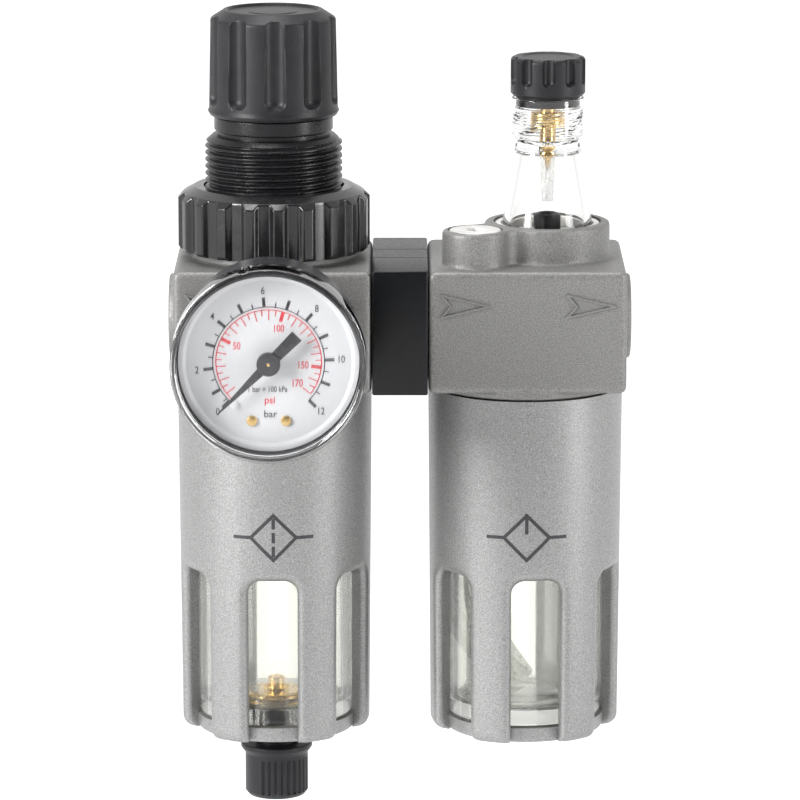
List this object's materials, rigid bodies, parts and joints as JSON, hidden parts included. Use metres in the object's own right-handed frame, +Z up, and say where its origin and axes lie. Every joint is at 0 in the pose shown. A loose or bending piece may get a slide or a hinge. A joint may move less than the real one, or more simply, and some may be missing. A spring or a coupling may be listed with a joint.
{
  "type": "filter regulator lubricator",
  "caption": "Inline air filter and pressure regulator with gauge, joined by a spacer to an oil-mist lubricator with a sight dome; clear bowls inside slotted metal guards.",
  "frame": {"origin": "centre of the inlet port, on the face of its round boss at the left end", "axes": "+X along the air flow towards the outlet port, +Y to the back (the gauge faces -Y), +Z up along the bowls' axes"},
  "size_m": [0.101, 0.0799, 0.1762],
  "materials": {
    "cast_paint": "fine metallic grey paint over a die casting",
    "guard_paint": "fine metallic silver grey paint",
    "spacer_nylon": "moulded black nylon",
    "knob_nylon": "finely textured black nylon",
    "gloss_black": "smooth moulded black",
    "gauge_black": "smooth moulded black",
    "clear_plastic": "clear polycarbonate with a faint straw tint",
    "tube_nylon": "translucent natural nylon",
    "white_plastic": "natural acetal",
    "sintered": "porous sintered polyethylene",
    "brass": "turned brass",
    "steel": "bright zinc-plated steel",
    "zinc": "turned, lightly brushed",
    "rubber": "nitrile rubber",
    "dial_paint": "white printed dial",
    "pointer_paint": "dark grey paint"
  },
  "bodies": {
    "housing": {"fr_body": "cast_paint", "lub_body": "cast_paint", "joint_block": "spacer_nylon", "joint_nipple": "brass", "joint_o_ring_1": "rubber", "joint_o_ring_2": "rubber", "joint_stud_1": "steel", "joint_stud_2": "steel", "regulator_bonnet": "knob_nylon", "ring_nut": "gloss_black", "main_spring": "steel", "diaphragm": "rubber", "valve_guide": "brass", "valve_spring": "steel", "swirl_deflector": "white_plastic", "filter_element": "sintered", "filter_baffle": "white_plastic", "filter_screw": "brass", "gauge_stem": "brass", "gauge_case": "gauge_black", "gauge_lens": "clear_plastic", "gauge_dial": "dial_paint", "dial_screw_1": "brass", "dial_screw_2": "brass", "bourdon_tube": "brass", "gauge_movement": "brass", "rear_gauge_plug": "zinc", "siphon_tube": "tube_nylon", "sight_dome": "clear_plastic", "dome_ring": "zinc", "dome_o_ring": "rubber", "drip_seat": "knob_nylon", "flow_flap": "rubber"},
    "adjusting_screw": {"adjusting_screw": "steel"},
    "spring_seat": {"spring_seat": "brass"},
    "regulator_knob": {"regulator_knob": "knob_nylon"},
    "diaphragm_stack": {"diaphragm_disc": "steel", "diaphragm_plate": "brass"},
    "valve": {"valve_stem": "brass"},
    "pointer": {"gauge_pointer": "pointer_paint"},
    "sector": {"gauge_sector": "brass"},
    "filter_bowl": {"filter_bowl": "clear_plastic", "filter_bowl_o_ring": "rubber", "drain_body": "knob_nylon", "drain_nut": "brass"},
    "filter_guard": {"filter_guard": "guard_paint"},
    "drain_valve": {"drain_valve": "brass"},
    "drain_knob": {"drain_knob": "knob_nylon"},
    "oil_bowl": {"oil_bowl": "clear_plastic", "oil_bowl_o_ring": "rubber"},
    "oil_guard": {"oil_guard": "guard_paint"},
    "feed_needle": {"feed_needle": "brass"},
    "feed_knob": {"feed_knob": "knob_nylon"},
    "fill_plug_seal": {"fill_plug_o_ring": "rubber"},
    "fill_plug": {"fill_plug": "zinc"}
  },
  "joints": [
    {"name": "pressure_adjust", "type": "hinge", "parent": "housing", "child": "adjusting_screw", "pos_m": [0.02295, 0, 0.058], "axis": [0, 0, 1], "range_deg": [-2160, 0]},
    {"name": "spring_seat_travel", "type": "slide", "parent": "housing", "child": "spring_seat", "axis": [0, 0, 1], "range_m": [-0.0075, 0], "deforming": ["main_spring"]},
    {"name": "knob_lock", "type": "slide", "parent": "adjusting_screw", "child": "regulator_knob", "axis": [0, 0, 1], "range_m": [0, 0.003]},
    {"name": "diaphragm_travel", "type": "slide", "parent": "housing", "child": "diaphragm_stack", "axis": [0, 0, 1], "range_m": [-0.0015, 0], "stiffness_N_per_m": 400, "springref_m": 0.002, "deforming": ["diaphragm"]},
    {"name": "valve_travel", "type": "slide", "parent": "housing", "child": "valve", "axis": [0, 0, 1], "range_m": [-0.0015, 0], "deforming": ["valve_spring"]},
    {"name": "pointer_turn", "type": "hinge", "parent": "housing", "child": "pointer", "pos_m": [0.02295, -0.05, 0], "axis": [0, 1, 0], "range_deg": [0, 269], "stiffness_Nm_per_rad": 0.000005, "springref_deg": -17.19},
    {"name": "sector_turn", "type": "hinge", "parent": "housing", "child": "sector", "pos_m": [0.02295, -0.0453, 0.0081], "axis": [0, 1, 0], "range_deg": [-50, 0]},
    {"name": "filter_guard_turn", "type": "hinge", "parent": "filter_bowl", "child": "filter_guard", "pos_m": [0.02295, 0, -0.05], "axis": [0, 0, 1], "range_deg": [-1080, 0]},
    {"name": "filter_bowl_drop", "type": "slide", "parent": "housing", "child": "filter_bowl", "axis": [0, 0, 1], "range_m": [-0.0075, 0]},
    {"name": "drain_turn", "type": "hinge", "parent": "drain_valve", "child": "drain_knob", "pos_m": [0.02295, 0, -0.102], "axis": [0, 0, 1], "range_deg": [0, 180]},
    {"name": "drain_lift", "type": "slide", "parent": "filter_bowl", "child": "drain_valve", "axis": [0, 0, 1], "range_m": [0, 0.0015]},
    {"name": "oil_guard_turn", "type": "hinge", "parent": "oil_bowl", "child": "oil_guard", "pos_m": [0.07805, 0, -0.05], "axis": [0, 0, 1], "range_deg": [-1080, 0]},
    {"name": "oil_bowl_drop", "type": "slide", "parent": "housing", "child": "oil_bowl", "axis": [0, 0, 1], "range_m": [-0.0075, 0]},
    {"name": "feed_turn", "type": "hinge", "parent": "feed_needle", "child": "feed_knob", "pos_m": [0.0827, 0, 0.052], "axis": [0, 0, 1], "range_deg": [0, 720]},
    {"name": "feed_lift", "type": "slide", "parent": "housing", "child": "feed_needle", "axis": [0, 0, 1], "range_m": [0, 0.0015]},
    {"name": "fill_plug_turn", "type": "hinge", "parent": "fill_plug_seal", "child": "fill_plug", "pos_m": [0.0668, -0.012, 0.0175], "axis": [0, 0, 1], "range_deg": [0, 2160]},
    {"name": "fill_plug_lift", "type": "slide", "parent": "housing", "child": "fill_plug_seal", "axis": [0, 0, 1], "range_m": [0, 0.006]}
  ],
  "couplings": [
    {"joint": "spring_seat_travel", "follows": "pressure_adjust", "m_per_rad": 0.00019894},
    {"joint": "valve_travel", "follows": "diaphragm_travel", "ratio": 1},
    {"joint": "sector_turn", "follows": "pointer_turn", "ratio": -0.18045},
    {"joint": "filter_bowl_drop", "follows": "filter_guard_turn", "m_per_rad": 0.00039789},
    {"joint": "drain_turn", "follows": "drain_lift", "rad_per_m": 2094.4},
    {"joint": "oil_bowl_drop", "follows": "oil_guard_turn", "m_per_rad": 0.00039789},
    {"joint": "feed_turn", "follows": "feed_lift", "rad_per_m": 8377.6},
    {"joint": "fill_plug_turn", "follows": "fill_plug_lift", "rad_per_m": 6283.2}
  ]
}
